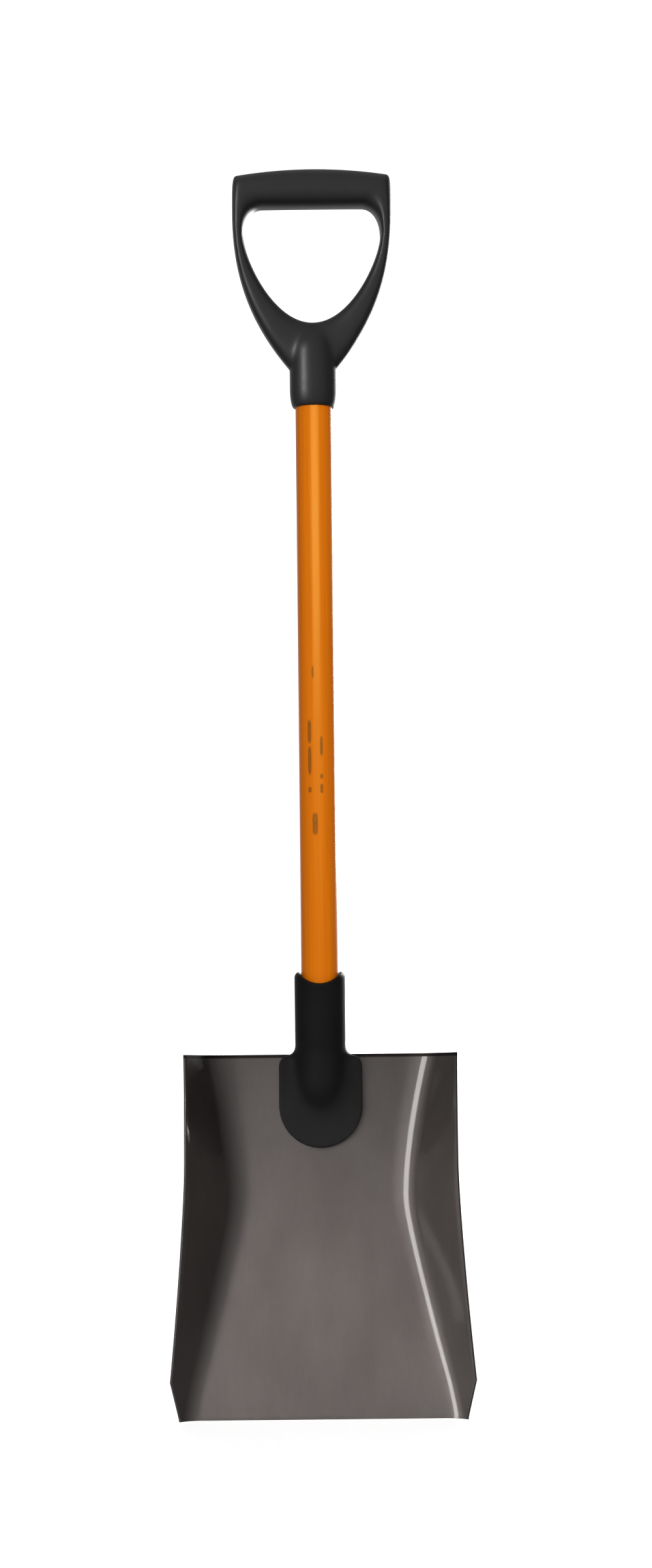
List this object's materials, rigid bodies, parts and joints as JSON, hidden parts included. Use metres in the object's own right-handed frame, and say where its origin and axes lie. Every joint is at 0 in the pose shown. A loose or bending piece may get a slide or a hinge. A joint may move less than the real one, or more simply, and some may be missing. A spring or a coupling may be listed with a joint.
{
  "type": "square-mouth shovel",
  "caption": "Insulated square-mouth shovel with a deep steel pan, a straight round shaft, a moulded D-grip and a moulded socket cover.",
  "frame": {"origin": "middle of the blade's mouth edge, at its lowest level", "axes": "+Z parallel to the shaft, from the mouth up to the grip; -Y out of the dish; +X to the right of someone facing the dish; X = 0 is the plane of symmetry"},
  "size_m": [0.245, 0.0901, 1.0205],
  "materials": {
    "blade_steel": "clear-lacquered dark steel, semi-gloss",
    "socket_steel": "satin",
    "fastener_steel": "zinc-plated satin",
    "black_plastic": "moulded satin",
    "grip_plastic": "moulded satin",
    "orange_fibreglass": "pigmented glass-fibre resin, semi-gloss",
    "foam": "closed-cell foam",
    "nylon": "natural nylon"
  },
  "bodies": {
    "root": {"blade": "blade_steel", "blade_socket": "socket_steel", "strap_rivets": "fastener_steel", "shaft_rivets": "fastener_steel", "socket_cover_front": "black_plastic", "socket_cover_rear": "black_plastic", "cover_screws": "fastener_steel", "shaft_tube": "orange_fibreglass", "shaft_core": "foam", "shaft_plug_lower": "nylon", "shaft_plug_upper": "nylon", "d_grip": "grip_plastic", "grip_screw": "fastener_steel"}
  },
  "joints": []
}
